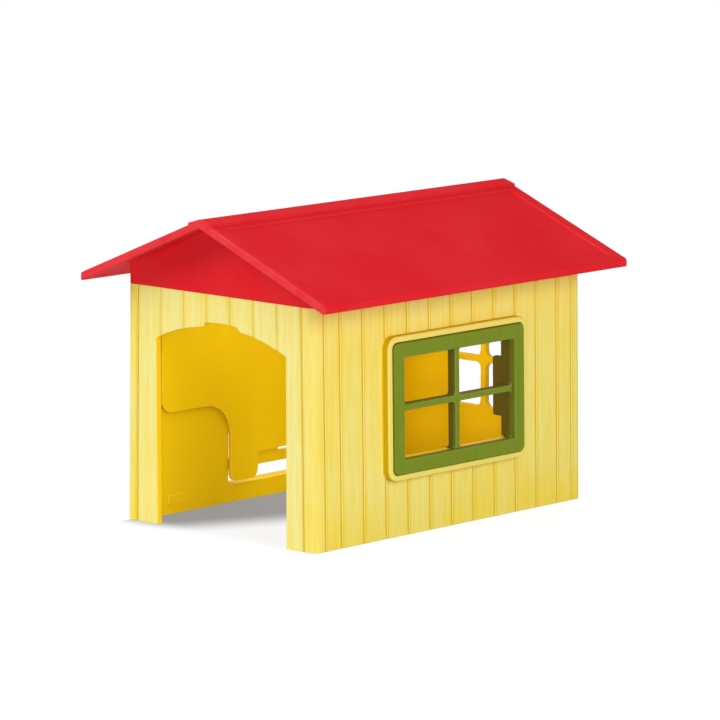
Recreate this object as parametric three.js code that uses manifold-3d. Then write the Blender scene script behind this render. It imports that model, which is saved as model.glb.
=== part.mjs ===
// Toy dog kennel: four planked walls, a snap-in window, a hanging side hatch and a lift-off gable roof.
// Millimetres, +Z up. The doorway faces -Y, the green window +X, and the walls stand on z = 0.
import * as THREE from "three";
import { mergeVertices } from "three/addons/utils/BufferGeometryUtils.js";
import Module from "manifold-3d";

const wasm = await Module();
wasm.setup();

// Planks and walls. The side walls spread by wallLean from top to foot, as moulded shells do.
const plankPitch = 8;
const frontPlanks = 7;
const sidePlanks = 10;
const cornerBoard = 4.05;
const narrowPlank = 5.55;
const wallHeight = 60;
const wallThickness = 1.6;
const wallLean = 0.88;
const cornerRadius = 2.3;
const grooveWidth = 0.8;
const grooveDepth = 0.4;
const grooveShoulder = 0.25;
const grooveRoot = 0.15;
const seamGap = 0.12;
const lapGap = 0.2;
const lapShare = 0.5;

// Doorway in the front wall: straight jambs, a low arch and, at its crown, a notch with a steep and a sloping end.
const doorWidth = 44.8;
const doorOffCentre = 0.8;
const doorJamb = 47.3;
const doorRise = 4.8;
const notchWidth = 10.8;
const notchDepth = 1;
const notchSteepEnd = 0.4;
const notchSlopingEnd = 1.5;

// Back window, whose crossed bars are part of the wall.
const backWindowWidth = 22;
const backWindowFoot = 20.2;
const backWindowHeight = 24.8;
const backBar = 1.7;
const backPaneRadius = 1.6;

// Green window frame, held in a raised surround on the right wall.
const frameWidth = 48.2;
const frameHeight = 32.8;
const frameBorder = 3.8;
const frameRadius = 1.6;
const frameOffCentre = 0.4;
const frameCentreHeight = 32.35;
const flangeThickness = 1.8;
const flangeProud = 0.5;
const flangeEdge = 0.4;
const surroundRim = 1.65;
const surroundRise = 2.2;
const surroundEdge = 0.6;
const sleeveSet = 2.2;
const sleeveReach = 0.55;
const sleeveGap = 0.12;
const sillGap = 0.15;
const barWidth = 1.7;
const barSet = 1;
const barBackSet = 1.2;
const paneRadius = 0.9;
const tabHeight = 15.2;
const tabReach = 3.3;
const tabRadius = 0.7;
const barbRise = 0.6;
const barbLength = 2;
const barbGap = 0.12;

// Side hatch: a T-shaped flap with two feet, hung from a rod inside the left wall.
const hatchThickness = 1;
const hatchGap = 0.3;
const wingEndRoom = 5.5;
const wingFoot = 26.4;
const wingCorner = 3.8;
const leafLap = 0.4;
const leafFoot = 12.4;
const footWidth = 9.9;
const footDrop = 6.8;
const hatchFillet = 8.8;
const hatchCorner = 2.3;
const footCrook = 0.8;
const hingeRoom = 2.3;
const rodRadius = 0.8;
const rodGap = 0.15;
const barrelRadius = 1.5;
const lugWidth = 1.8;
const lugGap = 0.4;
const rodOverhang = 0.5;

// Hatch frame: a shallow tray against the left wall, with the sill and a rail whose raised part stops the flap.
const trayDepth = 2.6;
const trayPlate = 1.2;
const trayFlange = 1.2;
const trayEndGap = 0.6;
const trayGap = 0.1;
const hatchwayWidth = 34.6;
const hatchwaySill = 4.7;
const hatchwayLintel = 5.3;
const hatchwayRadius = 1.2;
const railFoot = 8.6;
const railHeight = 2.8;
const stopWidth = 9.6;
const stopEnd = 0.9;
const stopRise = 1.4;

// Roof: two slopes with a ridge cap and recessed fields, a collar on the walls, tongues and ribs inside.
const eaveOverhang = 9.95;
const gableOverhang = 6.4;
const eaveAboveWall = 0.1;
const roofRise = 17;
const roofThickness = 2.2;
const roofEdge = 0.35;
const eaveRound = 0.9;
const eaveFootRound = 0.4;
const capHalfWidth = 3.85;
const capRise = 0.55;
const capEdge = 0.3;
const capCrown = 0.12;
const fieldDepth = 0.35;
const ridgeBand = 5.4;
const eaveBand = 3.2;
const rakeBand = 3.6;
const tongueDrop = 3;
const tongueThickness = 1.2;
const tongueLength = 26;
const tongueGap = 0.3;
const tongueRoot = 2.4;
const ribThickness = 1.2;
const ribDepth = 3.4;
const ribSpacing = 26;
const ribPairs = 1;

// Modelling values.
const overrun = 1;
const weld = 0.0001;
const arcSteps = 3;
const bevelSteps = 3;
const roundSteps = 20;

// Places that follow from the sizes.
const seamX = (frontPlanks * plankPitch) / 2;
const halfWidth = seamX + cornerBoard;
const plankEndY = (sidePlanks * plankPitch) / 2;
const halfLength = plankEndY + narrowPlank + cornerBoard;
const innerX = halfWidth - wallThickness;
const innerY = halfLength - wallThickness;
const lapThickness = wallThickness * lapShare;
const trayFaceX = innerX - trayDepth;
const hingeHeight = wallHeight - tongueDrop - hingeRoom - barrelRadius;
const trayTop = hingeHeight - barrelRadius - lugGap;
const hatchwayTop = trayTop - hatchwayLintel;
const wingEndY = innerY - wingEndRoom;
const paneFoot = frameCentreHeight - frameHeight / 2 + frameBorder;
const leafEndY = hatchwayWidth / 2 + leafLap;
const roofHalfWidth = halfWidth + eaveOverhang;
const roofHalfLength = halfLength + gableOverhang;
const eaveHeight = wallHeight + eaveAboveWall;
const apexHeight = eaveHeight + roofRise;

const YELLOW = 0xf1da58;
const DEEP_YELLOW = 0xe3b21a;
const GREEN = 0x76882a;
const RED = 0xdf2a33;

const AXES = {
  x: new THREE.Matrix4().makeBasis(
    new THREE.Vector3(0, 1, 0),
    new THREE.Vector3(0, 0, 1),
    new THREE.Vector3(1, 0, 0),
  ),
  y: new THREE.Matrix4().makeBasis(
    new THREE.Vector3(1, 0, 0),
    new THREE.Vector3(0, 0, 1),
    new THREE.Vector3(0, -1, 0),
  ),
  z: new THREE.Matrix4(),
};

// A manifold solid from any closed three.js geometry.
function solid(geometry) {
  const bare = new THREE.BufferGeometry();
  bare.setAttribute("position", geometry.getAttribute("position"));
  bare.setIndex(geometry.index);
  const merged = mergeVertices(bare, weld);
  const mesh = new wasm.Mesh({
    numProp: 3,
    vertProperties: merged.getAttribute("position").array,
    triVerts: new Uint32Array(merged.index.array),
  });
  return new wasm.Manifold(mesh);
}

// An outline pushed out along an axis, from one place on it to another, with rounded ends if edge is given.
function prism(shape, axis, from, to, edge = 0) {
  const geometry = new THREE.ExtrudeGeometry(shape, {
    depth: to - from - 2 * edge,
    bevelEnabled: edge > 0,
    bevelThickness: edge,
    bevelSize: edge,
    bevelOffset: -edge,
    bevelSegments: bevelSteps,
    curveSegments: arcSteps,
  });
  geometry.translate(0, 0, axis === "y" ? edge - to : from + edge);
  return solid(geometry.applyMatrix4(AXES[axis]));
}

// A closed outline through corners, each given as [across, up] or, with a rounding radius, [across, up, radius].
function outline(corners) {
  const shape = new THREE.Shape();
  corners.forEach(([x, y, radius = 0], i) => {
    const corner = new THREE.Vector2(x, y);
    const last = new THREE.Vector2(...corners.at(i - 1).slice(0, 2));
    const next = new THREE.Vector2(...corners.at((i + 1) % corners.length).slice(0, 2));
    const back = last.sub(corner).normalize();
    const ahead = next.sub(corner).normalize();
    const half = Math.acos(back.dot(ahead)) / 2;
    const start = back.clone().setLength(radius / Math.tan(half)).add(corner);
    const end = ahead.clone().setLength(radius / Math.tan(half)).add(corner);
    if (i === 0) shape.moveTo(start.x, start.y);
    else shape.lineTo(start.x, start.y);
    if (radius > 0) {
      const clockwise = back.cross(ahead) > 0;
      const centre = back.add(ahead).setLength(radius / Math.sin(half)).add(corner);
      const from = start.sub(centre).angle();
      const to = end.sub(centre).angle();
      shape.absarc(centre.x, centre.y, radius, from, to, clockwise);
    }
  });
  shape.closePath();
  return shape;
}

function rectangle(left, right, bottom, top, radius = 0) {
  return outline([
    [left, bottom, radius],
    [right, bottom, radius],
    [right, top, radius],
    [left, top, radius],
  ]);
}

// A rectangle given by its centre and half sizes.
function pane(x, y, halfX, halfY, radius = 0) {
  return rectangle(x - halfX, x + halfX, y - halfY, y + halfY, radius);
}

function circle(x, y, radius) {
  const shape = new THREE.Shape();
  shape.absarc(x, y, radius, 0, 2 * Math.PI);
  return new THREE.Shape(shape.getPoints(roundSteps / 2).slice(0, -1));
}

// How far a point of a side wall stands outside its place at the wall's top.
const spread = (z) => (wallLean * (wallHeight - z)) / wallHeight;

// Slants a solid as the side wall at x: side walls take the whole lean, planks between them their share.
function lean(body, x) {
  const leanHere = (wallLean * x) / seamX;
  const shear = new THREE.Matrix4().makeShear(0, 0, 0, 0, -leanHere / wallHeight, 0);
  shear.setPosition(leanHere, 0, 0);
  return body.transform(shear.elements);
}

const leanRight = (body) => lean(body, seamX);
const leanLeft = (body) => lean(body, -seamX);

// Plan of a side wall: corner boards wrap round both ends and end in thin lips, and V grooves part the planks.
function sideWallPlan() {
  const lip = seamX + seamGap / 2;
  const lipShoulder = seamX + grooveWidth / 2;
  const grooves = [-plankEndY - narrowPlank];
  for (let i = 0; i <= sidePlanks; i++) grooves.push(i * plankPitch - plankEndY);
  grooves.push(plankEndY + narrowPlank);
  const corners = [
    [lip, -halfLength + grooveDepth],
    [lipShoulder, -halfLength, grooveShoulder],
    [halfWidth, -halfLength, cornerRadius],
  ];
  for (const y of grooves) {
    corners.push([halfWidth, y - grooveWidth / 2, grooveShoulder]);
    corners.push([halfWidth - grooveDepth, y, grooveRoot]);
    corners.push([halfWidth, y + grooveWidth / 2, grooveShoulder]);
  }
  corners.push(
    [halfWidth, halfLength, cornerRadius],
    [lipShoulder, halfLength, grooveShoulder],
    [lip, halfLength - grooveDepth],
    [lip, halfLength - lapThickness],
    [innerX, halfLength - lapThickness],
    [innerX, -halfLength + lapThickness],
    [lip, -halfLength + lapThickness],
  );
  return outline(corners);
}

// The raised surround of the green window, with the ledge that its flange seats on.
function windowSurround() {
  const y = frameOffCentre;
  const z = frameCentreHeight;
  const halfY = frameWidth / 2;
  const halfZ = frameHeight / 2;
  const outer = pane(
    y,
    z,
    halfY + surroundRim,
    halfZ + surroundRim,
    frameRadius + surroundRim,
  );
  const seat = pane(y, z, halfY + sleeveGap, halfZ + sleeveGap, frameRadius);
  const ledge = halfWidth + surroundRise + flangeProud - flangeThickness;
  return prism(outer, "x", innerX, halfWidth + surroundRise, surroundEdge)
    .add(prism(outer, "x", innerX, halfWidth))
    .subtract(prism(seat, "x", ledge, halfWidth + surroundRise + overrun));
}

// The sleeve behind the frame has a head and two jambs, and stands just above a sill that is part of the wall.
function sleeveOutline(gap, footGap) {
  const halfY = frameWidth / 2 - sleeveSet + gap;
  return rectangle(
    frameOffCentre - halfY,
    frameOffCentre + halfY,
    paneFoot - footGap,
    frameCentreHeight + frameHeight / 2 - sleeveSet + gap,
  );
}

function rightWall() {
  const hole = prism(
    sleeveOutline(sleeveGap, sillGap),
    "x",
    innerX - overrun,
    halfWidth + surroundRise + overrun,
  );
  const wall = prism(sideWallPlan(), "z", 0, wallHeight);
  return leanRight(wall.add(windowSurround()).subtract(hole));
}

const hatchway = () =>
  rectangle(
    -hatchwayWidth / 2,
    hatchwayWidth / 2,
    hatchwaySill,
    hatchwayTop,
    hatchwayRadius,
  );

function leftWall() {
  const wall = prism(sideWallPlan(), "z", 0, wallHeight).rotate([0, 0, 180]);
  const hole = prism(hatchway(), "x", -halfWidth - overrun, -innerX + overrun);
  return leanLeft(wall.subtract(hole));
}

// An upright sheet of an end wall, whose edges lean with the side walls.
function endSheet(halfTop, from, to) {
  const halfFoot = halfTop + wallLean;
  const sheet = outline([
    [-halfFoot, 0],
    [halfFoot, 0],
    [halfTop, wallHeight],
    [-halfTop, wallHeight],
  ]);
  return prism(sheet, "y", from, to);
}

// A V groove down the outer face of the front wall, at x along its top edge, with rounded shoulders.
function frontGroove(x) {
  const half = grooveWidth / 2;
  const flare = half + grooveShoulder * Math.tan(Math.atan2(grooveDepth, half) / 2);
  const section = outline([
    [x - flare, -halfLength - overrun],
    [x + flare, -halfLength - overrun],
    [x + flare, -halfLength],
    [x + half, -halfLength, grooveShoulder],
    [x, -halfLength + grooveDepth, grooveRoot],
    [x - half, -halfLength, grooveShoulder],
    [x - flare, -halfLength],
  ]);
  return lean(prism(section, "z", -overrun, wallHeight + overrun), x);
}

// The planked sheet of an end wall, lapped behind the lips of both side walls.
function endWall() {
  let wall = endSheet(seamX - seamGap / 2, -halfLength, -innerY);
  wall = wall.add(endSheet(innerX - lapGap, -halfLength + lapThickness, -innerY));
  for (let i = 0; i <= frontPlanks; i++) {
    wall = wall.subtract(frontGroove(i * plankPitch - seamX));
  }
  return wall;
}

// The arch is the circle through the tops of the doorway's jambs and its crown.
const archRadius = (doorWidth ** 2 / 4 + doorRise ** 2) / (2 * doorRise);
const archCentreZ = doorJamb + doorRise - archRadius;
const archHeight = (x) => archCentreZ + Math.sqrt(archRadius ** 2 - x ** 2);

// An outline that is open at the floor and ends in an arc about the arch's centre, given x at its right and left.
function archOutline(right, left, footRight, footLeft, foot, radius) {
  const shape = new THREE.Shape();
  shape.moveTo(doorOffCentre + footLeft, foot);
  shape.lineTo(doorOffCentre + footRight, foot);
  shape.lineTo(doorOffCentre + footRight, archHeight(footRight));
  shape.absarc(
    doorOffCentre,
    archCentreZ,
    radius,
    Math.acos(right / radius),
    Math.acos(left / radius),
  );
  shape.lineTo(doorOffCentre + footLeft, archHeight(footLeft));
  return new THREE.Shape(shape.getPoints(4 * arcSteps));
}

function frontWall() {
  const jamb = doorWidth / 2;
  const end = notchWidth / 2;
  const door = archOutline(jamb, -jamb, jamb, -jamb, -overrun, archRadius);
  const notch = archOutline(
    end,
    -end,
    end + notchSlopingEnd,
    -end - notchSteepEnd,
    doorJamb,
    archRadius + notchDepth,
  );
  let wall = endWall();
  for (const opening of [door, notch]) {
    wall = wall.subtract(prism(opening, "y", -halfLength - overrun, -innerY + overrun));
  }
  return wall;
}

function backWall() {
  const paneX = (backWindowWidth - backBar) / 4;
  const paneZ = (backWindowHeight - backBar) / 4;
  const middle = backWindowFoot + backWindowHeight / 2;
  let wall = endWall().rotate([0, 0, 180]);
  for (const x of [-1, 1]) {
    for (const z of [-1, 1]) {
      const hole = pane(
        x * (paneX + backBar / 2),
        middle + z * (paneZ + backBar / 2),
        paneX,
        paneZ,
        backPaneRadius,
      );
      wall = wall.subtract(
        prism(hole, "y", innerY - overrun, halfLength + overrun),
      );
    }
  }
  return wall;
}

// The crossed bars of the green frame: one sheet with four rounded panes.
function windowBars(halfY, halfZ, back, face) {
  const y = frameOffCentre;
  const z = frameCentreHeight;
  const paneY = (halfY - barWidth / 2) / 2;
  const paneZ = (halfZ - barWidth / 2) / 2;
  const root = sleeveSet / 4;
  const sheet = pane(y, z, halfY + root, halfZ + root);
  for (const i of [-1, 1]) {
    for (const j of [-1, 1]) {
      const atY = y + i * (paneY + barWidth / 2);
      const atZ = z + j * (paneZ + barWidth / 2);
      sheet.holes.push(pane(atY, atZ, paneY, paneZ, paneRadius));
    }
  }
  return prism(sheet, "x", back, face);
}

// A snap tab on the sleeve's jamb, with the barb that catches the wall's inner face.
function snapTab(side) {
  const jamb = frameWidth / 2 - frameBorder;
  const sleeve = frameWidth / 2 - sleeveSet;
  const back = innerX - sleeveReach;
  const low = frameCentreHeight - tabHeight / 2;
  const high = frameCentreHeight + tabHeight / 2;
  const ys = [jamb, sleeve].map((y) => frameOffCentre + side * y).sort((a, b) => a - b);
  const face = outline([
    [back - tabReach + sleeveReach, low, tabRadius],
    [back + sleeveReach, low],
    [back + sleeveReach, high],
    [back - tabReach + sleeveReach, high, tabRadius],
  ]);
  const barbTop = innerX - barbGap;
  const barb = outline([
    [barbTop, frameOffCentre + side * (sleeve + barbRise)],
    [barbTop, frameOffCentre + side * jamb],
    [barbTop - barbLength, frameOffCentre + side * jamb],
    [barbTop - barbLength, frameOffCentre + side * sleeve],
  ]);
  return prism(face, "y", ys[0], ys[1]).add(prism(barb, "z", low, high));
}

function windowFrame() {
  const y = frameOffCentre;
  const z = frameCentreHeight;
  const halfY = frameWidth / 2 - frameBorder;
  const halfZ = frameHeight / 2 - frameBorder;
  const face = halfWidth + surroundRise + flangeProud;
  const back = innerX - sleeveReach;
  const flange = pane(y, z, frameWidth / 2, frameHeight / 2, frameRadius);
  const opening = prism(pane(y, z, halfY, halfZ), "x", back - overrun, face + overrun);
  const end = frameWidth / 2;
  const sill = rectangle(y - end, y + end, paneFoot - sleeveSet, paneFoot);
  const sleeve = prism(sleeveOutline(0, 0), "x", back, face - flangeThickness);
  const body = prism(flange, "x", face - flangeThickness, face, flangeEdge)
    .add(sleeve)
    .subtract(opening)
    .add(windowBars(halfY, halfZ, back + barBackSet, face - barSet))
    .subtract(prism(sill, "x", back, face - flangeThickness))
    .add(snapTab(-1))
    .add(snapTab(1));
  return leanRight(body);
}

// The hatch flap's T outline: wide wings above, a narrow leaf below them, and a foot at each corner of the leaf.
function hatchOutline() {
  const foot = leafEndY - footWidth;
  const toe = leafFoot - footDrop;
  return outline([
    [-leafEndY, toe, hatchCorner],
    [-foot, toe, hatchCorner],
    [-foot, leafFoot, footCrook],
    [foot, leafFoot, footCrook],
    [foot, toe, hatchCorner],
    [leafEndY, toe, hatchCorner],
    [leafEndY, wingFoot, hatchFillet],
    [wingEndY, wingFoot, wingCorner],
    [wingEndY, hingeHeight],
    [-wingEndY, hingeHeight],
    [-wingEndY, wingFoot, wingCorner],
    [-leafEndY, wingFoot, hatchFillet],
  ]);
}

// A circle about the hinge axis, which lies in the plane of the tray's face, so that the flap falls shut.
const hingeRound = (radius) => circle(-trayFaceX, hingeHeight, radius);

function sideHatch() {
  const back = -trayFaceX + hatchGap;
  const boreEnd = wingEndY + overrun;
  const relief = lugWidth / 2 + lugGap;
  const reach = barrelRadius + overrun;
  const gate = rectangle(
    -relief,
    relief,
    hingeHeight - barrelRadius - lugGap,
    hingeHeight + reach,
  );
  const flap = prism(hatchOutline(), "x", back, back + hatchThickness)
    .add(prism(hingeRound(barrelRadius), "y", -wingEndY, wingEndY))
    .subtract(prism(hingeRound(rodRadius + rodGap), "y", -boreEnd, boreEnd))
    .subtract(prism(gate, "x", -trayFaceX - reach, -trayFaceX + reach));
  return leanLeft(flap);
}

// A lug that rises from the top of the hatch frame to hold the hinge rod, centred at y.
function hingeLug(y) {
  const from = y - lugWidth / 2;
  const to = y + lugWidth / 2;
  const arm = rectangle(
    -trayFaceX - trayPlate,
    -trayFaceX,
    trayTop - trayFlange,
    hingeHeight,
  );
  return prism(hingeRound(barrelRadius), "y", from, to).add(prism(arm, "y", from, to));
}

const lugPlaces = () => {
  const end = wingEndY + lugGap + lugWidth / 2;
  return [-end, 0, end];
};

function hatchFrame() {
  const endY = innerY - trayEndGap;
  const wallFace = -innerX + trayGap;
  const plateBack = -trayFaceX - trayPlate;
  const half = hatchwayWidth / 2;
  const through = prism(hatchway(), "x", wallFace - overrun, -trayFaceX + overrun);
  const hollow = rectangle(
    -endY + trayFlange,
    endY - trayFlange,
    trayFlange,
    trayTop - trayFlange,
  );
  hollow.holes.push(
    rectangle(
      -half - trayFlange,
      half + trayFlange,
      hatchwaySill - trayFlange,
      hatchwayTop + trayFlange,
    ),
  );
  const rail = rectangle(
    -half - trayFlange / 2,
    half + trayFlange / 2,
    railFoot,
    railFoot + railHeight,
  );
  const stop = rectangle(
    stopEnd - stopWidth,
    stopEnd,
    railFoot,
    railFoot + railHeight + stopRise,
  );
  let tray = prism(rectangle(-endY, endY, 0, trayTop), "x", wallFace, -trayFaceX)
    .subtract(prism(hollow, "x", wallFace - overrun, plateBack))
    .subtract(through)
    .add(prism(rail, "x", plateBack, -trayFaceX))
    .add(prism(stop, "x", plateBack, -trayFaceX));
  for (const y of lugPlaces()) tray = tray.add(hingeLug(y));
  const bore = prism(hingeRound(rodRadius + rodGap), "y", -endY, endY);
  return leanLeft(tray.subtract(bore));
}

function hingeRod() {
  const end = lugPlaces()[2] + lugWidth / 2 + rodOverhang;
  const rod = circle(-trayFaceX - spread(hingeHeight), hingeHeight, rodRadius);
  return prism(rod, "y", -end, end, rodRadius / 4);
}

// Height of the roof's underside, and of its slopes' top, above a place x across it.
const underside = (x) => apexHeight - (roofRise * Math.abs(x)) / roofHalfWidth;
const topside = (x) => underside(x) + roofThickness;

// One chevron sheet with rounded eaves, in the XZ plane.
function slopesOutline() {
  return outline([
    [-roofHalfWidth, underside(roofHalfWidth), eaveFootRound],
    [0, apexHeight],
    [roofHalfWidth, underside(roofHalfWidth), eaveFootRound],
    [roofHalfWidth, topside(roofHalfWidth), eaveRound],
    [0, topside(0)],
    [-roofHalfWidth, topside(roofHalfWidth), eaveRound],
  ]);
}

// The cap along the ridge: flatter than the slopes and a little proud of them at its sides.
function ridgeCap() {
  const sideTop = topside(capHalfWidth) + capRise;
  const cap = outline([
    [-capHalfWidth, underside(capHalfWidth) + roofEdge],
    [0, apexHeight + roofEdge],
    [capHalfWidth, underside(capHalfWidth) + roofEdge],
    [capHalfWidth, sideTop, capEdge],
    [0, topside(0) + capCrown, capHalfWidth / 3],
    [-capHalfWidth, sideTop, capEdge],
  ]);
  return prism(cap, "y", -roofHalfLength, roofHalfLength, capEdge / 2);
}

// The shallow field of one slope, bounded by the ridge, eave and rake bands.
function slopeField(side) {
  const inner = ridgeBand;
  const outer = roofHalfWidth - eaveBand;
  const end = roofHalfLength - rakeBand;
  const field = outline([
    [side * inner, topside(inner) - fieldDepth],
    [side * outer, topside(outer) - fieldDepth],
    [side * outer, topside(outer) + overrun],
    [side * inner, topside(inner) + overrun],
  ]);
  return prism(field, "y", -end, end);
}

// The gable ends and side skirts: a ring in line with the walls, cut off by the slopes.
function collar() {
  const ring = pane(0, 0, halfWidth, halfLength, cornerRadius);
  ring.holes.push(pane(0, 0, innerX, innerY));
  const under = outline([
    [-roofHalfWidth, wallHeight],
    [roofHalfWidth, wallHeight],
    [roofHalfWidth, underside(roofHalfWidth) + roofEdge],
    [0, apexHeight + roofEdge],
    [-roofHalfWidth, underside(roofHalfWidth) + roofEdge],
  ]);
  const tent = prism(under, "y", -roofHalfLength, roofHalfLength);
  return prism(ring, "z", wallHeight, apexHeight + roofThickness).intersect(tent);
}

// A tongue that drops inside a wall whose inner face lies at reach, as its section across that wall.
function tongueSection(reach) {
  const outer = reach - tongueGap;
  return [
    [outer, wallHeight - tongueDrop],
    [outer, wallHeight + tongueGap],
    [reach + lapThickness, wallHeight + tongueGap],
    [reach + lapThickness, wallHeight + tongueRoot],
    [outer - tongueThickness, wallHeight + tongueRoot],
    [outer - tongueThickness, wallHeight - tongueDrop],
  ];
}

function tongues() {
  const half = tongueLength / 2;
  const side = prism(outline(tongueSection(innerX)), "y", -half, half);
  const end = prism(outline(tongueSection(innerY)), "x", -half, half);
  return [side, side.rotate([0, 0, 180]), end, end.rotate([0, 0, 180])];
}

// A rib across the attic, following the slopes' underside.
function atticRib(y) {
  const end = innerX + lapThickness;
  const rib = outline([
    [-end, underside(end) - ribDepth],
    [0, apexHeight - ribDepth],
    [end, underside(end) - ribDepth],
    [end, underside(end) + roofEdge],
    [0, apexHeight + roofEdge],
    [-end, underside(end) + roofEdge],
  ]);
  return prism(rib, "y", y - ribThickness / 2, y + ribThickness / 2);
}

function roof() {
  let body = prism(
    slopesOutline(),
    "y",
    -roofHalfLength,
    roofHalfLength,
    roofEdge,
  );
  body = body.subtract(slopeField(-1)).subtract(slopeField(1));
  body = body.add(ridgeCap()).add(collar());
  for (const tongue of tongues()) body = body.add(tongue);
  for (let i = -ribPairs; i <= ribPairs; i++) body = body.add(atticRib(i * ribSpacing));
  return body;
}

// A named mesh with its own material, from a manifold solid.
function mesh(name, body, color, roughness = 0.5) {
  const { vertProperties, triVerts } = body.getMesh();
  const geometry = new THREE.BufferGeometry();
  geometry.setAttribute("position", new THREE.BufferAttribute(vertProperties, 3));
  geometry.setIndex(new THREE.BufferAttribute(triVerts, 1));
  const flat = geometry.toNonIndexed();
  flat.computeVertexNormals();
  const material = new THREE.MeshStandardMaterial({ color, roughness, metalness: 0 });
  const made = new THREE.Mesh(flat, material);
  made.name = name;
  return made;
}

const kennel = new THREE.Group();
kennel.name = "toy_dog_kennel";
kennel.add(
  mesh("front_wall", frontWall(), YELLOW),
  mesh("back_wall", backWall(), YELLOW),
  mesh("left_wall", leftWall(), YELLOW),
  mesh("right_wall", rightWall(), YELLOW),
  mesh("window_frame", windowFrame(), GREEN, 0.4),
  mesh("hatch_frame", hatchFrame(), DEEP_YELLOW),
  mesh("hinge_rod", hingeRod(), YELLOW),
  mesh("side_hatch", sideHatch(), DEEP_YELLOW),
  mesh("roof", roof(), RED, 0.35),
);

export default kennel;
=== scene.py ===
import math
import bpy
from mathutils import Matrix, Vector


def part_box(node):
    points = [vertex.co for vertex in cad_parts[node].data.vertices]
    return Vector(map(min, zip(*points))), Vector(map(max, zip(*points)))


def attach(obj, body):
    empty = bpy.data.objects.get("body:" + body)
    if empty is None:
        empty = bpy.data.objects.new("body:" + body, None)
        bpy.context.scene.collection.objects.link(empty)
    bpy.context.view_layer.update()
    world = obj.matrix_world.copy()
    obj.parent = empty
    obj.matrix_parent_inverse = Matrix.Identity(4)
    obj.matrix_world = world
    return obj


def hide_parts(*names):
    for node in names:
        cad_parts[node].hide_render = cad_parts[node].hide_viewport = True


bl_info = {
    "name": "Toy Dog Kennel",
    "version": (1, 0, 0),
    "blender": (4, 5, 0),
    "location": "View3D > Sidebar > Kennel",
    "description": "Dresses the toy kennel: planked walls, window frame, hanging hatch and lift-off roof",
    "category": "Object",
}

import bmesh
import bpy
from bpy.props import FloatProperty, FloatVectorProperty, IntProperty, PointerProperty
from bpy.types import Operator, Panel, PropertyGroup
from mathutils import Matrix, Vector

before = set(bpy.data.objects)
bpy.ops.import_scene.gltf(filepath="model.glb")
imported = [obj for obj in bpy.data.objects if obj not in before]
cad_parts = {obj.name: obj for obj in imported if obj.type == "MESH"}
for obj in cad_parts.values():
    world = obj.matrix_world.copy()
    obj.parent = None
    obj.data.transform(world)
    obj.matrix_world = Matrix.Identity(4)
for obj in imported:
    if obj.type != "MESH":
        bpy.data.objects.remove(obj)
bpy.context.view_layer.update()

MILLIMETRE = 0.001
EDGE_LAYER = "rounded_edge"

# How the walls were moulded, in millimetres: the surface patterns follow the same sizes. The reach is half
# a groove's width and a little more.
PLANK_PITCH = 8.0
GROOVE_DEPTH = 0.4
GROOVE_REACH = 0.45
CORNER_RADIUS = 2.3
WALL_THICKNESS = 1.6
WALL_LEAN = 0.88

# The outermost grooves, in millimetres from the middle of the front and of a side.
SEAM_X = 28.0
LAST_SIDE_GROOVE = 45.55

# Where the raised pad sits on the hatch's lining, in millimetres along the wall and above the floor,
# and its roundings as shares of its rise.
PAD_PLACE = (-36.1, 3.8)
LINING_DEPTH = 2.5
PAD_CORNER_SHARE = 1.6
PAD_RIM_SHARE = 0.6

# Depths in millimetres under a wall's outer face, between which its outer half ends. Less than 0 is outside
# the face, where the raised surround starts.
OUTER_HALF = (0.9, 1.2)
PROUD_DEPTHS = (-0.7, -0.1)

# The coat ends between these shares of a groove's depth, and between these shares of facing outwards.
# From the last share of facing sideways on, a face counts as a side wall's.
COAT_END_SHARES = (0.3, 0.95)
OUTWARD_SHARES = (0.3, 0.65)
SIDEWAYS_SHARE = 0.72

# Runs across a plank: from and to, as shares of the way from its edge to its middle, then the value at each.
THIN_EDGE_RUN = (0.05, 0.4, -0.16, 0.02)
BESIDE_GROOVE_RUN = (0.08, 0.2, 0.45, 0.0)
IN_GROOVE_RUN = (0.05, 0.1, 1.0, 0.0)
PALE_EDGE_RUN = (0.1, 0.24, 0.0, 1.0)

# Depths in millimetres behind the window's front face, between which the painted shade of its deep parts
# turns to the colour of its bars.
DEEP_PARTS = (2.6, 1.2)

# Scales of the noise patterns, the higher the finer.
BRISTLE_SCALE = 3600
STROKE_SCALE = 900
GRAIN_SCALE = 3400
FLOW_SCALE = 130
PALE_EDGE_SCALE = 260
PAINT_PATCH_SCALE = 38
INNER_FLOW_SCALE = 75
ROOF_CLOUD_SCALE = 42

# Mesh work: faces that turn less than the first angle in degrees are merged, an edge that turns more than
# the second is rounded, and shading breaks past the third. Corners this many millimetres apart are welded.
MERGED_TURN = 0.5
ROUNDED_TURN = 40
CRISP_TURN = 50
WELD_DISTANCE = 0.002

# The lamps round the kennel: turn and angle above the floor in degrees, distance and width in metres, and
# whether reflections show it. They look at a point on the kennel's axis, in millimetres above the floor.
LAMPS = (
    ("key", 43, 8, 1.3, 0.15, True),
    ("left", -45, 38, 1.2, 0.6, True),
    ("right", 76, 20, 1.2, 0.6, True),
    ("top", -20, 74, 1.0, 0.6, True),
    ("back", 228, 22, 1.4, 0.6, False),
)
LAMP_AIM = 35.0

# The room lamp's height, width and length, as shares of the walls' height, half width and half length.
ROOM_LAMP_SHARES = (0.93, 1.4, 1.7)

# What the camera sees of the floor: its colour, and its glow in the room's painted shadow, in the open room
# and outside. The floor lies just under the feet, in millimetres.
SEEN_FLOOR = (0.08, 0.08, 0.08)
PAINTED_SHADOW_GLOW = (0.27, 0.85)
OUTSIDE_GLOW = 0.96
FLOOR_DROP = 0.03

# The room's painted shadow ends between these shares of its half width, and slants across the floor. Its glow
# turns to the one outside between these distances in millimetres from the front wall's face.
PAINTED_SHADOW_END_SHARES = (0.2, 0.85)
PAINTED_SHADOW_SLANT = -0.46
DOOR_FADE = (-7.0, 5.0)

# Reflections see the surround dim to the ceiling's level between these shares of straight up.
CEILING_START_SHARES = (0.1, 0.5)


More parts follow.
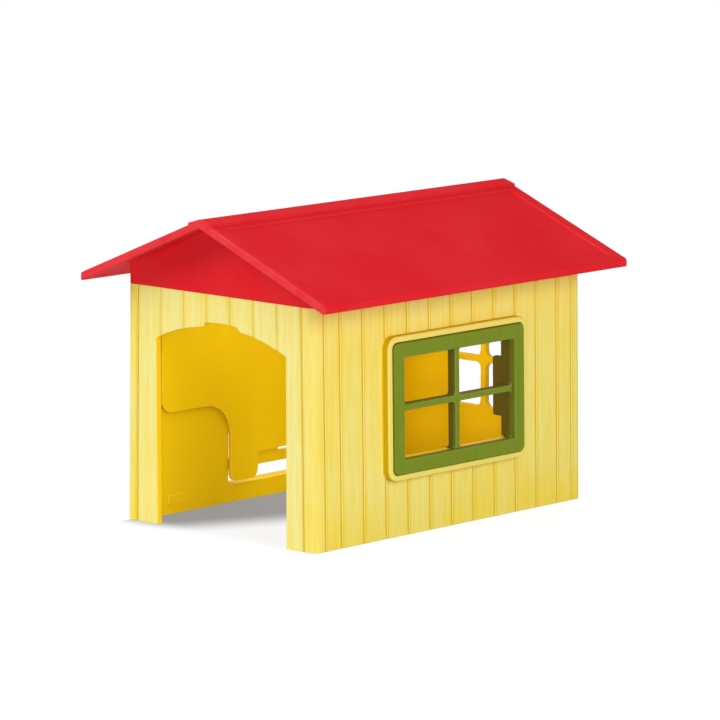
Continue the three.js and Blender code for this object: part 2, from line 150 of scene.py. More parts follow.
def metres(*lengths):
    """Lengths given in millimetres, in metres."""
    return tuple(length * MILLIMETRE for length in lengths)


def wall_outside():
    """Half width at the wall's top and half length of the walls, in metres, and their height."""
    low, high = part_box("left_wall")
    return -low.x - WALL_LEAN * MILLIMETRE, high.y, high.z


def screen(red, green, blue):
    """The linear colour of a colour given by its screen values, 0 to 255."""
    values = (red / 255, green / 255, blue / 255)
    return tuple(v / 12.92 if v <= 0.04045 else ((v + 0.055) / 1.055) ** 2.4 for v in values)


def colour_property(name, description, default):
    """A colour that the sidebar shows as a swatch."""
    return FloatVectorProperty(
        name=name, description=description, default=default, subtype="COLOR", size=3, min=0, max=1
    )


def length_property(name, description, millimetres):
    """A length that the sidebar shows in the scene's unit."""
    return FloatProperty(
        name=name,
        description=description,
        default=millimetres * MILLIMETRE,
        min=0,
        precision=5,
        subtype="DISTANCE",
        unit="LENGTH",
    )


def share_property(name, description, default):
    """A share from 0 to 1 that the sidebar shows as a slider."""
    return FloatProperty(name=name, description=description, default=default, min=0, max=1, subtype="FACTOR")


def level_property(name, description, default):
    """A brightness, where 1 is white."""
    return FloatProperty(name=name, description=description, default=default, min=0)


def power_property(name, description, watts):
    """A lamp's power."""
    return FloatProperty(name=name, description=description, default=watts, min=0, unit="POWER")


def angle_property(name, description, degrees):
    """An angle that the sidebar shows in degrees."""
    return FloatProperty(name=name, description=description, default=math.radians(degrees), unit="ROTATION")


# Settings


class KennelWallSettings(PropertyGroup):
    raw_colour: colour_property("Raw plastic", "Colour of the bare amber plastic", screen(242, 204, 14))
    coat_colour: colour_property("Coat", "Yellow coat on the outer faces", screen(245, 217, 62))
    paint_colour: colour_property("Brushed paint", "Pale paint brushed on the planks", screen(244, 235, 150))
    # Pale edges on the walls: brushed paint caught on their rounded edges.
    edge_paint_and_highlight_colour: colour_property("Rubbed edges", "Colour of edges paled by paint and painted highlight", screen(250, 224, 92))
    # The grooves' colours are set against the lamps: paler on the front, whose grooves the lamps shade, and a
    # painted shade on the other walls, whose grooves they light straight on. The groove shade darkens the
    # side grooves' hollows further with painted shade.
    front_groove: colour_property("Front grooves", "Colour of the front's grooves", screen(241, 221, 115))
    side_groove: colour_property("Side grooves", "Colour of the other walls' grooves", screen(204, 166, 20))
    groove_painted_shade: share_property("Groove painted shade", "How much darker the side grooves are inside", 0.14)
    front_cover: share_property("Front cover", "How much paint the front wall carries", 0.8)
    side_cover: share_property("Side cover", "How much paint the side and back walls carry", 0.47)
    front_blur: share_property("Front softness", "How softly the strokes end on the front wall", 0.28)
    side_blur: share_property("Side softness", "How softly they end on the other walls", 0.38)
    bare_foot: share_property("Bare foot", "How much less paint the foot of the other walls carries", 0.3)
    rim_cover: share_property("Rim cover", "How much paint the raised surround carries", 0.42)
    edge_radius: length_property("Edge radius", "Rounding of the walls' edges", 0.12)


class KennelWindowSettings(PropertyGroup):
    frame_colour: colour_property("Frame", "Colour of the window frame", screen(117, 134, 25))
    streak_colour: colour_property("Streaks", "Paler streaks of the frame", screen(136, 156, 52))
    side_colour: colour_property("Sides", "Colour of the bars' sides", screen(112, 122, 30))
    # The deep parts' brown is painted shade in the frame's recess.
    deep_shade_colour: colour_property("Shaded deep parts", "Colour of the jambs and snap tabs", screen(100, 88, 22))
    edge_radius: length_property("Edge radius", "Rounding of the frame's edges", 0.36)


class KennelHatchSettings(PropertyGroup):
    plastic_colour: colour_property("Plastic", "Colour of the hatch, lining and rod", screen(232, 200, 12))
    # A painted highlight on the hatch's rounded edges.
    edge_paint_and_highlight_colour: colour_property("Rubbed edges", "Colour of edges paled by paint and painted highlight", screen(255, 222, 60))
    edge_radius: length_property("Edge radius", "Rounding of the hatch's edges", 0.15)
    pad_length: length_property("Pad length", "Length of the raised pad on the lining", 5.7)
    pad_height: length_property("Pad height", "Height of the raised pad on the lining", 2.2)
    pad_rise: length_property("Pad rise", "How far the pad stands proud", 0.25)


class KennelRoofSettings(PropertyGroup):
    roof_colour: colour_property("Roof", "Colour of the roof", screen(232, 34, 44))
    edge_radius: length_property("Edge radius", "Rounding of the roof's edges", 0.2)
    # A painted highlight: the paler band along the roof's ends.
    end_highlight_band: length_property("End highlight band", "Width of the paler band along the roof's ends", 1.4)
    roughness: share_property("Roughness", "How satin the roof looks", 0.6)


class KennelStageSettings(PropertyGroup):
    floor_colour: colour_property("Floor", "Colour of the floor", (0.62, 0.62, 0.62))
    sky_level: level_property("Sky level", "Light from all round", 0.23)
    ceiling_level: level_property("Ceiling level", "What reflections see high up", 0.1)
    key_power: power_property("Key lamp", "Lamp at the camera", 4.0)
    left_power: power_property("Left lamp", "Lamp on the left", 8.8)
    right_power: power_property("Right lamp", "Lamp on the right", 6.5)
    top_power: power_property("Top lamp", "Lamp above the roof", 0.8)
    back_power: power_property("Back lamp", "Low lamp behind", 8.0)
    room_power: power_property("Room lamp", "Lamp inside", 0.019)
    azimuth: angle_property("Azimuth", "Camera's turn round the kennel", 43.208)
    elevation: angle_property("Elevation", "Camera's angle above the floor", 9.291)
    distance: length_property("Distance", "From the camera to the kennel", 1222.568)
    aim_across: length_property("Aim across", "Middle of the view, to the right of the kennel's axis", 0.882)
    aim_up: length_property("Aim up", "Middle of the view, above the floor", 37.629)
    lens: FloatProperty(name="Lens", description="Focal length on the sensor", default=240.47, unit="CAMERA")
    sensor: FloatProperty(name="Sensor", description="Width of the sensor", default=36, unit="CAMERA")
    spread: IntProperty(name="Floor size", description="Width of the floor in metres", default=1, min=1)


# Node trees


class Board:
    """A node tree with short ways to add and join nodes, laid out in rows."""

    ROW = 8
    STEP = (220, -260)

    def __init__(self, tree):
        self.tree = tree
        self.count = 0

    def add(self, kind, **settings):
        """Adds a node, places it next in its row and sets its properties."""
        node = self.tree.nodes.new(kind)
        node.location = (self.STEP[0] * (self.count % self.ROW), self.STEP[1] * (self.count // self.ROW))
        self.count += 1
        for name, value in settings.items():
            setattr(node, name, value)
        return node

    def feed(self, socket, value):
        """Joins another node's output to a socket, or sets the socket's own value."""
        if isinstance(value, bpy.types.NodeSocket):
            self.tree.links.new(value, socket)
        elif socket.type == "RGBA" and len(value) == 3:
            socket.default_value = (*value, 1)
        else:
            socket.default_value = value

    def math(self, operation, *values):
        """One sum on single values."""
        node = self.add("ShaderNodeMath", operation=operation)
        for socket, value in zip(node.inputs, values):
            self.feed(socket, value)
        return node.outputs[0]

    def between(self, value, low, high, start=0.0, end=1.0, smooth=True):
        """Turns a value's run from low to high into a run from start to end."""
        kind = "SMOOTHSTEP" if smooth else "LINEAR"
        node = self.add("ShaderNodeMapRange", interpolation_type=kind, clamp=True)
        for socket, given in zip(node.inputs[:5], (value, low, high, start, end)):
            self.feed(socket, given)
        return node.outputs[0]

    def blend(self, share, first, second):
        """A colour between two, by a share."""
        node = self.add("ShaderNodeMix", data_type="RGBA", blend_type="MIX", clamp_factor=True)
        # The node's colour sockets come after those for numbers and vectors.
        share_socket, first_socket, second_socket = (node.inputs[index] for index in (0, 6, 7))
        self.feed(share_socket, share)
        self.feed(first_socket, first)
        self.feed(second_socket, second)
        return node.outputs[2]

    def upright(self, point, share):
        """The same point with its height cut to a share, which draws patterns out upwards."""
        node = self.add("ShaderNodeMapping", vector_type="POINT")
        self.feed(node.inputs["Vector"], point)
        node.inputs["Scale"].default_value = (1, 1, share)
        return node.outputs[0]

    def noise(self, point, scale, roughness=0.5, detail=2.0):
        """Soft noise at a point."""
        node = self.add("ShaderNodeTexNoise", noise_dimensions="3D")
        self.feed(node.inputs["Vector"], point)
        self.feed(node.inputs["Scale"], scale)
        self.feed(node.inputs["Detail"], detail)
        self.feed(node.inputs["Roughness"], roughness)
        return node.outputs["Fac"]

    def parts(self, point):
        """The three numbers of a point."""
        node = self.add("ShaderNodeSeparateXYZ")
        self.feed(node.inputs[0], point)
        return node.outputs

    def group(self, group, **values):
        """Places a shared effect and feeds its named inputs."""
        node = self.add("ShaderNodeGroup")
        node.node_tree = group
        for name, value in values.items():
            self.feed(node.inputs[name.replace("_", " ").capitalize()], value)
        return node.outputs

    def bump(self, height, distance):
        """A normal from a height, with its full depth in millimetres."""
        node = self.add("ShaderNodeBump")
        self.feed(node.inputs["Height"], height)
        node.inputs["Distance"].default_value = distance * MILLIMETRE
        return node.outputs["Normal"]


def start_group(name, inputs, outputs):
    """A new shared effect with named sockets, and its way in and way out."""
    group = bpy.data.node_groups.new(name, "ShaderNodeTree")
    for label, kind, value in inputs:
        socket = group.interface.new_socket(label, in_out="INPUT", socket_type=kind)
        if value is not None:
            socket.default_value = value
    for label, kind in outputs:
        group.interface.new_socket(label, in_out="OUTPUT", socket_type=kind)
    board = Board(group)
    return group, board, board.add("NodeGroupInput").outputs, board.add("NodeGroupOutput").inputs


def shared(build):
    """Builds a shared effect once, and gives the same one to every later material."""
    made = {}

    def get():
        if "group" not in made:
            made["group"] = build()
        return made["group"]

    return get


@shared
def outer_skin():
    """Tells the walls' outer faces from their grooves, sides and insides by place and facing."""
    half_width, half_length, height = wall_outside()
    group, board, given, out = start_group(
        "Outer skin",
        (
            ("Point", "NodeSocketVector", None),
            ("Normal", "NodeSocketVector", None),
            ("Half width", "NodeSocketFloat", half_width),
            ("Half length", "NodeSocketFloat", half_length),
            ("Wall height", "NodeSocketFloat", height),
            ("Lean", "NodeSocketFloat", WALL_LEAN * MILLIMETRE),
            ("Groove depth", "NodeSocketFloat", GROOVE_DEPTH * MILLIMETRE),
            ("Corner radius", "NodeSocketFloat", CORNER_RADIUS * MILLIMETRE),
        ),
        (
            ("Skin", "NodeSocketFloat"),
            ("Groove", "NodeSocketFloat"),
            ("Proud", "NodeSocketFloat"),
            ("Across", "NodeSocketFloat"),
            ("Height share", "NodeSocketFloat"),
        ),
    )
    x, y, z = board.parts(given["Point"])
    facing_x, facing_y, _ = board.parts(given["Normal"])
    height_share = board.math("DIVIDE", z, given["Wall height"])
    spread = board.math("MULTIPLY", board.math("SUBTRACT", 1.0, height_share), given["Lean"])
    side_face = board.math("ADD", given["Half width"], spread)
    side_depth = board.math("SUBTRACT", side_face, board.math("ABSOLUTE", x))
    end_depth = board.math("SUBTRACT", given["Half length"], board.math("ABSOLUTE", y))

    # Both arms of the way from the rounded corner's centre line out to the point, and the way itself.
    side_arm = board.math("MAXIMUM", board.math("SUBTRACT", given["Corner radius"], side_depth), 0.0)
    end_arm = board.math("MAXIMUM", board.math("SUBTRACT", given["Corner radius"], end_depth), 0.0)
    squares = board.math("MULTIPLY_ADD", side_arm, side_arm, board.math("MULTIPLY", end_arm, end_arm))
    least_reach = 0.01 * MILLIMETRE
    reach = board.math("MAXIMUM", board.math("SQRT", squares), least_reach)
    depth = board.math("SUBTRACT", given["Corner radius"], reach)
    along_side = board.math("MULTIPLY", board.math("ABSOLUTE", facing_x), side_arm)
    along_both = board.math("MULTIPLY_ADD", board.math("ABSOLUTE", facing_y), end_arm, along_side)
    outward = board.between(board.math("DIVIDE", along_both, reach), *OUTWARD_SHARES)

    shallow, deep = (board.math("MULTIPLY", given["Groove depth"], share) for share in COAT_END_SHARES)
    board.feed(out["Skin"], board.math("MULTIPLY", outward, board.between(depth, shallow, deep, 1.0, 0.0)))
    board.feed(out["Groove"], board.between(depth, *metres(*OUTER_HALF), 1.0, 0.0))
    board.feed(out["Proud"], board.between(side_depth, *metres(*PROUD_DEPTHS), 1.0, 0.0))

    # The way across the planks. Past the last side groove it jumps on to the next whole plank.
    on_side = board.math("GREATER_THAN", board.math("ABSOLUTE", facing_x), SIDEWAYS_SHARE)
    straight = board.math("MULTIPLY_ADD", spread, 1 / (SEAM_X * MILLIMETRE), 1.0)
    front_across = board.math("ADD", board.math("DIVIDE", x, straight), PLANK_PITCH * MILLIMETRE / 2)
    near_side = (LAST_SIDE_GROOVE - GROOVE_REACH) * MILLIMETRE
    past_last = board.math("GREATER_THAN", board.math("ABSOLUTE", y), near_side)
    to_next_plank = math.ceil(LAST_SIDE_GROOVE / PLANK_PITCH) * PLANK_PITCH - LAST_SIDE_GROOVE
    jump = board.math("MULTIPLY", board.math("SIGN", y), to_next_plank * MILLIMETRE)
    side_across = board.math("MULTIPLY_ADD", past_last, jump, y)
    keep_front = board.math("MULTIPLY", board.math("SUBTRACT", 1.0, on_side), front_across)
    board.feed(out["Across"], board.math("MULTIPLY_ADD", on_side, side_across, keep_front))
    board.feed(out["Height share"], height_share)
    return group


@shared
def plank_layout():
    """Gives each plank a tone of its own, and the share of the way from its edges to its middle."""
    group, board, given, out = start_group(
        "Plank layout",
        (("Across", "NodeSocketFloat", 0.0), ("Pitch", "NodeSocketFloat", PLANK_PITCH * MILLIMETRE)),
        (("Tone", "NodeSocketFloat"), ("Middle", "NodeSocketFloat")),
    )
    count = board.math("DIVIDE", given["Across"], given["Pitch"])
    board.feed(out["Middle"], board.math("MULTIPLY", board.math("PINGPONG", count, 0.5), 2.0))
    dice = board.add("ShaderNodeTexWhiteNoise", noise_dimensions="1D")
    seed = 7.31
    board.feed(dice.inputs["W"], board.math("ADD", board.math("FLOOR", count), seed))
    board.feed(out["Tone"], dice.outputs["Value"])
    return group


@shared
def brush_strokes():
    """Upright strokes of a nearly dry brush: full where the cover is high, broken where it is low."""
    group, board, given, out = start_group(
        "Brush strokes",
        (
            ("Point", "NodeSocketVector", None),
            ("Cover", "NodeSocketFloat", 0.5),
            ("Softness", "NodeSocketFloat", 0.12),
        ),
        (("Paint", "NodeSocketFloat"), ("Height", "NodeSocketFloat")),
    )
    fine = board.noise(board.upright(given["Point"], 0.03), BRISTLE_SCALE, roughness=0.6)
    broad = board.noise(board.upright(given["Point"], 0.06), STROKE_SCALE, detail=1.0)
    fine_share = 0.62
    bristles = board.math("MULTIPLY_ADD", fine, fine_share, board.math("MULTIPLY", broad, 1 - fine_share))
    bare_limit, full_limit = 0.7, 0.3
    limit = board.between(given["Cover"], 0.0, 1.0, bare_limit, full_limit, smooth=False)
    low = board.math("SUBTRACT", limit, given["Softness"])
    high = board.math("ADD", limit, given["Softness"])
    board.feed(out["Paint"], board.between(bristles, low, high))
    board.feed(out["Height"], bristles)
    return group


@shared
def moulded_skin():
    """The faint unevenness that a mould leaves on plastic, for gloss and bump."""
    group, board, given, out = start_group(
        "Moulded skin",
        (
            ("Point", "NodeSocketVector", None),
            ("Roughness", "NodeSocketFloat", 0.45),
            ("Variation", "NodeSocketFloat", 0.08),
        ),
        (("Roughness", "NodeSocketFloat"), ("Height", "NodeSocketFloat")),
    )
    grain = board.noise(given["Point"], GRAIN_SCALE, roughness=0.55)
    flow = board.noise(given["Point"], FLOW_SCALE)
    swing = board.math("MULTIPLY", board.math("SUBTRACT", flow, 0.5), given["Variation"])
    board.feed(out["Roughness"], board.math("MULTIPLY_ADD", swing, 2.0, given["Roughness"]))
    flow_share = 0.8
    relief = board.math("MULTIPLY_ADD", flow, flow_share, board.math("MULTIPLY", grain, 1 - flow_share))
    board.feed(out["Height"], relief)
    return group


@shared
def edge_paint_and_highlight_group():
    """Where the rounded edges are paler, patchily: a painted highlight on the hatch and the roof, brushed
    paint caught on the walls' edges, and paler edges on the frame's front.
    """
    group, board, given, out = start_group(
        "Rubbed edges",
        (
            ("Point", "NodeSocketVector", None),
            ("Edge", "NodeSocketFloat", 0.0),
            ("Amount", "NodeSocketFloat", 0.5),
        ),
        (("Rub", "NodeSocketFloat"),),
    )
    patchy = board.between(board.noise(given["Point"], PALE_EDGE_SCALE, roughness=0.6), 0.3, 0.6)
    least = 0.4
    uneven = board.math("MULTIPLY_ADD", patchy, 1 - least, least)
    share = board.math("MULTIPLY", uneven, given["Amount"])
    board.feed(out["Rub"], board.math("MULTIPLY", given["Edge"], share))
    return group


# Materials


def start_material(name, shine):
    """A new material, its board, its shader and the place and facing of each point."""
    material = bpy.data.materials.new(name)
    material.use_nodes = True
    material.node_tree.nodes.clear()
    board = Board(material.node_tree)
    shader = board.add("ShaderNodeBsdfPrincipled")
    shader.inputs["Specular IOR Level"].default_value = shine
    output = board.add("ShaderNodeOutputMaterial")
    material.node_tree.links.new(shader.outputs[0], output.inputs["Surface"])
    place = board.add("ShaderNodeTexCoord")
    edge = board.add("ShaderNodeAttribute", attribute_type="GEOMETRY", attribute_name=EDGE_LAYER)
    return material, board, shader, place.outputs, edge.outputs["Fac"]


def finish_surface(board, shader, colour, roughness, polish, height, depth):
    """Sets the colour, the gloss with its polish on the paler edges, and the relief in millimetres."""
    board.feed(shader.inputs["Base Color"], colour)
    board.feed(shader.inputs["Roughness"], board.math("SUBTRACT", roughness, polish))
    board.feed(shader.inputs["Normal"], board.bump(height, depth))


def lighter(colour, share):
    """The same colour, a share of the way to white."""
    return tuple(value + (1 - value) * share for value in colour)


def darker(colour, share):
    """The same colour with a share of it taken away."""
    return tuple(value * (1 - share) for value in colour)


def paint_cover(board, point, skin, planks, cover, bare_foot):
    """How much paint each place carries: uneven by plank and patch, and less at a plank's edges and foot."""
    patches = board.noise(point, PAINT_PATCH_SCALE)
    plank_spread, patch_spread = 0.2, 0.9
    level = board.math("MULTIPLY_ADD", board.math("SUBTRACT", planks["Tone"], 0.5), plank_spread, cover)
    level = board.math("MULTIPLY_ADD", board.math("SUBTRACT", patches, 0.5), patch_spread, level)
    level = board.math("ADD", board.between(planks["Middle"], *THIN_EDGE_RUN), level)
    foot_share = 0.3
    return board.math("ADD", board.between(skin["Height share"], 0.0, foot_share, -bare_foot, 0.0), level)


def planked_plastic(name, settings, cover, blur, groove_colour, groove_painted_shade, bare_foot):
    """Yellow plastic whose outer planks are dry-brushed with pale paint."""
    material, board, shader, place, edge = start_material(name, shine=0.15)
    point = place["Object"]
    skin = board.group(outer_skin(), point=point, normal=place["Normal"])
    planks = board.group(plank_layout(), across=skin["Across"])
    level = paint_cover(board, point, skin, planks, cover, bare_foot)
    strokes = board.group(brush_strokes(), point=point, cover=level, softness=blur)

    # Paint lies in strokes on the planks and evenly on the surround, which stands proud of them.
    flat_share = board.math("SUBTRACT", 1.0, skin["Proud"])
    on_planks = board.math("MULTIPLY", strokes["Paint"], flat_share)
    on_rim = board.math("MULTIPLY", skin["Proud"], settings.rim_cover)
    paint = board.math("MULTIPLY", skin["Skin"], board.math("ADD", on_planks, on_rim))
    painted = board.blend(paint, settings.coat_colour, settings.paint_colour)
    beside_groove = board.math("MULTIPLY", board.between(planks["Middle"], *BESIDE_GROOVE_RUN), flat_share)
    painted = board.blend(beside_groove, painted, groove_colour)
    # The surround's unpainted sides are darker: painted shade where they stand proud of the wall.
    bare = board.blend(skin["Proud"], settings.raw_colour, darker(settings.raw_colour, 0.28))
    colour = board.blend(skin["Skin"], bare, painted)

    # Grooves are darker inside: painted shade in their hollows. The edges beside them are not paled.
    in_groove = board.math("MULTIPLY", skin["Groove"], board.between(planks["Middle"], *IN_GROOVE_RUN))
    in_groove = board.math("MULTIPLY", in_groove, flat_share)
    colour = board.blend(in_groove, colour, darker(groove_colour, groove_painted_shade))
    edge_paint_and_highlight = board.group(edge_paint_and_highlight_group(), point=point, edge=edge, amount=0.35)["Rub"]
    edge_paint_and_highlight = board.math("MULTIPLY", edge_paint_and_highlight, board.between(planks["Middle"], *PALE_EDGE_RUN))
    colour = board.blend(edge_paint_and_highlight, colour, settings.edge_paint_and_highlight_colour)

    # Paint is chalky, and its strokes stand up more than the grain of the plastic.
    chalk, stroke_share, grain_share = 0.12, 0.5, 0.35
    mould = board.group(moulded_skin(), point=point, roughness=0.46, variation=0.08)
    chalky = board.math("MULTIPLY_ADD", paint, chalk, mould["Roughness"])
    relief = board.math("MULTIPLY", strokes["Height"], board.math("MULTIPLY", skin["Skin"], stroke_share))
    relief = board.math("MULTIPLY_ADD", mould["Height"], grain_share, relief)
    polish = board.math("MULTIPLY", edge_paint_and_highlight, 0.1)
    finish_surface(board, shader, colour, chalky, polish, relief, depth=0.09)
    return material


def inner_plastic(name, colour, edge_paint_and_highlight_colour):
    """The bare moulded plastic of the hatch, its lining and its rod, with a painted highlight on its rounded
    edges.
    """
    material, board, shader, place, edge = start_material(name, shine=0.05)
    point = place["Object"]
    mould = board.group(moulded_skin(), point=point, roughness=0.42, variation=0.1)
    tone = board.between(board.noise(board.upright(point, 0.25), INNER_FLOW_SCALE), 0.3, 0.7)
    base = board.blend(tone, darker(colour, 0.05), colour)
    # A painted highlight on the rounded edges.
    edge_paint_and_highlight = board.group(edge_paint_and_highlight_group(), point=point, edge=edge, amount=0.9)["Rub"]
    colour = board.blend(edge_paint_and_highlight, base, edge_paint_and_highlight_colour)
    polish = board.math("MULTIPLY", edge_paint_and_highlight, 0.12)
    finish_surface(board, shader, colour, mould["Roughness"], polish, mould["Height"], depth=0.05)
    return material


def frame_plastic(name, settings):
    """Green plastic with faint paler brush streaks on the faces that look out. Its sides are browner, partly
    unpainted plastic and partly painted shade, darkest in the recess.
    """
    material, board, shader, place, edge = start_material(name, shine=0.1)
    point = place["Object"]
    facing = board.between(board.parts(place["Normal"])[0], 0.5, 0.9)
    strokes = board.group(brush_strokes(), point=point, cover=0.42, softness=0.3)
    mould = board.group(moulded_skin(), point=point, roughness=0.44, variation=0.1)
    streak_strength = 0.5
    streak = board.math("MULTIPLY", strokes["Paint"], streak_strength)
    front = board.blend(streak, settings.frame_colour, settings.streak_colour)
    # Deeper in, the sides turn to the painted shade of the deep parts.
    front_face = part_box("window_frame")[1].x
    deep, shallow = (front_face - depth for depth in metres(*DEEP_PARTS))
    near_front = board.between(board.parts(point)[0], deep, shallow)
    side = board.blend(near_front, settings.deep_shade_colour, settings.side_colour)
    base = board.blend(facing, side, front)
    edge_paint_and_highlight = board.group(edge_paint_and_highlight_group(), point=point, edge=edge, amount=0.35)["Rub"]
    edge_paint_and_highlight = board.math("MULTIPLY", edge_paint_and_highlight, facing)
    colour = board.blend(edge_paint_and_highlight, base, lighter(settings.streak_colour, 0.08))
    polish = board.math("MULTIPLY", edge_paint_and_highlight, 0.1)
    finish_surface(board, shader, colour, mould["Roughness"], polish, mould["Height"], depth=0.06)
    return material


def roof_plastic(name, settings):
    """Smooth satin red plastic, with a painted highlight along its ends and on its rounded edges."""
    material, board, shader, place, edge = start_material(name, shine=0.03)
    point = place["Object"]
    mould = board.group(moulded_skin(), point=point, roughness=settings.roughness, variation=0.1)
    cloud = board.between(board.noise(point, ROOF_CLOUD_SCALE, roughness=0.55, detail=3.0), 0.25, 0.75)
    base = board.blend(cloud, darker(settings.roof_colour, 0.04), lighter(settings.roof_colour, 0.01))
    # A painted highlight on the roof's ends and its rounded edges.
    roof_end = -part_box("roof")[0].y
    from_middle = board.math("ABSOLUTE", board.parts(point)[1])
    end_highlight = board.between(from_middle, roof_end - settings.end_highlight_band, roof_end)
    edge_highlight = 0.25
    highlit = board.math("MAXIMUM", board.math("MULTIPLY", edge, edge_highlight), end_highlight)
    edge_paint_and_highlight = board.group(edge_paint_and_highlight_group(), point=point, edge=highlit, amount=0.6)["Rub"]
    colour = board.blend(edge_paint_and_highlight, base, lighter(settings.roof_colour, 0.05))
    polish = board.math("MULTIPLY", edge_paint_and_highlight, 0.08)
    finish_surface(board, shader, colour, mould["Roughness"], polish, mould["Height"], depth=0.06)
    return material


# Meshes


def clear_old(name):
    """Removes what an earlier press of the same button made."""
    old = bpy.data.objects.get(name)
    if old is not None:
        bpy.data.objects.remove(old, do_unlink=True)


def show_shape(shape, name, material):
    """Turns finished mesh work into a smooth-shaded piece."""
    mesh = bpy.data.meshes.new(name)
    for face in shape.faces:
        face.smooth = True
    shape.to_mesh(mesh)
    shape.free()
    mesh.materials.append(material)
    piece = bpy.data.objects.new(name, mesh)
    bpy.context.scene.collection.objects.link(piece)
    return piece


def even_normals(mesh):
    """Lets broad faces lead the shading, so that they look flat, and keeps sharp corners crisp."""
    around = [[] for _ in mesh.vertices]
    for face in mesh.polygons:
        for corner in face.vertices:
            around[corner].append(face)
    crisp = math.cos(math.radians(CRISP_TURN))
    normals = []
    for face in mesh.polygons:
        for corner in face.vertices:
            smooth = [other for other in around[corner] if other.normal.dot(face.normal) > crisp]
            total = sum((other.normal * other.area for other in smooth), Vector())
            normals.append(total.normalized())
    mesh.normals_split_custom_set(normals)


def soften(shape, edges, radius, segments=2):
    """Rounds edges and marks their new faces, so that a material can tell them."""
    layer = shape.loops.layers.float.get(EDGE_LAYER) or shape.loops.layers.float.new(EDGE_LAYER)
    made = bmesh.ops.bevel(
        shape, geom=edges, offset=radius, offset_type="OFFSET", segments=segments, profile=0.5,
        affect="EDGES", clamp_overlap=False,
    )
    for face in made["faces"]:
        for corner in face.loops:
            corner[layer] = 1.0


def rounded_copy(node, name, material, radius):
    """A welded copy of a CAD node with its sharp edges rounded."""
    clear_old(name)
    shape = bmesh.new()
    shape.from_mesh(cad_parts[node].data)
    bmesh.ops.remove_doubles(shape, verts=shape.verts, dist=WELD_DISTANCE * MILLIMETRE)
    merged = math.radians(MERGED_TURN)
    bmesh.ops.dissolve_limit(shape, angle_limit=merged, verts=shape.verts, edges=shape.edges)
    turn = math.radians(ROUNDED_TURN)
    sharp = [edge for edge in shape.edges if edge.is_convex and edge.calc_face_angle() > turn]
    soften(shape, sharp, radius)
    piece = show_shape(shape, name, material)
    even_normals(piece.data)
    return piece


def dress(node, body, name, material, radius):
    """Stands a rounded copy in for a CAD node on the same body."""
    piece = rounded_copy(node, name, material, radius)
    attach(piece, body)
    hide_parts(node)


def lining_pad(settings, material):
    """The low raised pad on the room side of the hatch's lining."""
    clear_old("lining_pad")
    along, up = metres(*PAD_PLACE)
    lean = WALL_LEAN * MILLIMETRE / wall_outside()[2]
    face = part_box("hatch_frame")[0].x + LINING_DEPTH * MILLIMETRE + lean * up
    rise = settings.pad_rise
    shape = bmesh.new()
    bmesh.ops.create_cube(shape, size=1)
    bmesh.ops.scale(shape, vec=(2 * rise, settings.pad_length, settings.pad_height), verts=shape.verts)
    corners = [edge for edge in shape.edges if abs(edge.verts[0].co.x - edge.verts[1].co.x) > rise]
    soften(shape, corners, PAD_CORNER_SHARE * rise, 3)
    rim = [edge for edge in shape.edges if min(vert.co.x for vert in edge.verts) > 0.9 * rise]
    soften(shape, rim, PAD_RIM_SHARE * rise)
    stand = Matrix.Translation((face, along, up)) @ Matrix.Rotation(math.atan(lean), 4, "Y")
    bmesh.ops.transform(shape, matrix=stand, verts=shape.verts)
    pad = show_shape(shape, "lining_pad", material)
    even_normals(pad.data)
    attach(pad, "base")


# Operators


class KENNEL_OT_build_walls(Operator):
    """Dress the four planked walls"""

    bl_idname = "kennel.build_walls"
    bl_label = "Build Walls"

    def execute(self, context):
        settings = context.scene.kennel_walls
        front = planked_plastic(
            "brushed_front_plastic",
            settings,
            cover=settings.front_cover,
            blur=settings.front_blur,
            groove_colour=settings.front_groove,
            groove_painted_shade=0.0,
            bare_foot=0.0,
        )
        side = planked_plastic(
            "brushed_side_plastic",
            settings,
            cover=settings.side_cover,
            blur=settings.side_blur,
            groove_colour=settings.side_groove,
            groove_painted_shade=settings.groove_painted_shade,
            bare_foot=settings.bare_foot,
        )
        for node in ("front_wall", "right_wall", "left_wall", "back_wall"):
            material = front if node == "front_wall" else side
            dress(node, "base", "dressed_" + node, material, settings.edge_radius)
        return {"FINISHED"}


class KENNEL_OT_build_window(Operator):
    """Dress the green window frame"""

    bl_idname = "kennel.build_window"
    bl_label = "Build Window Frame"

    def execute(self, context):
        settings = context.scene.kennel_window
        material = frame_plastic("streaked_frame_plastic", settings)
        dress("window_frame", "base", "dressed_window_frame", material, settings.edge_radius)
        return {"FINISHED"}


class KENNEL_OT_build_hatch(Operator):
    """Dress the lining, the hanging hatch and its rod, and add the raised pad"""

    bl_idname = "kennel.build_hatch"
    bl_label = "Build Hatch"

    def execute(self, context):
        settings = context.scene.kennel_hatch
        material = inner_plastic("moulded_inner_plastic", settings.plastic_colour, settings.edge_paint_and_highlight_colour)
        dress("hatch_frame", "base", "dressed_hatch_frame", material, settings.edge_radius)
        dress("side_hatch", "hatch", "dressed_side_hatch", material, settings.edge_radius)
        lining_pad(settings, material)
        pin = inner_plastic("rod_plastic", darker(settings.plastic_colour, 0.08), settings.edge_paint_and_highlight_colour)
        dress("hinge_rod", "base", "dressed_hinge_rod", pin, settings.edge_radius)
        return {"FINISHED"}


class KENNEL_OT_build_roof(Operator):
    """Dress the roof"""

    bl_idname = "kennel.build_roof"
    bl_label = "Build Roof"

    def execute(self, context):
        settings = context.scene.kennel_roof
        material = roof_plastic("satin_roof_plastic", settings)
        dress("roof", "lid", "dressed_roof", material, settings.edge_radius)
        return {"FINISHED"}


def view_axes(azimuth, elevation):
    """The directions to the right, up and back of a camera that looks at the kennel."""
    right = Vector((math.cos(azimuth), math.sin(azimuth), 0))
    level = math.cos(elevation)
    back = Vector((math.sin(azimuth) * level, -math.cos(azimuth) * level, math.sin(elevation)))
    return right, back.cross(right), back


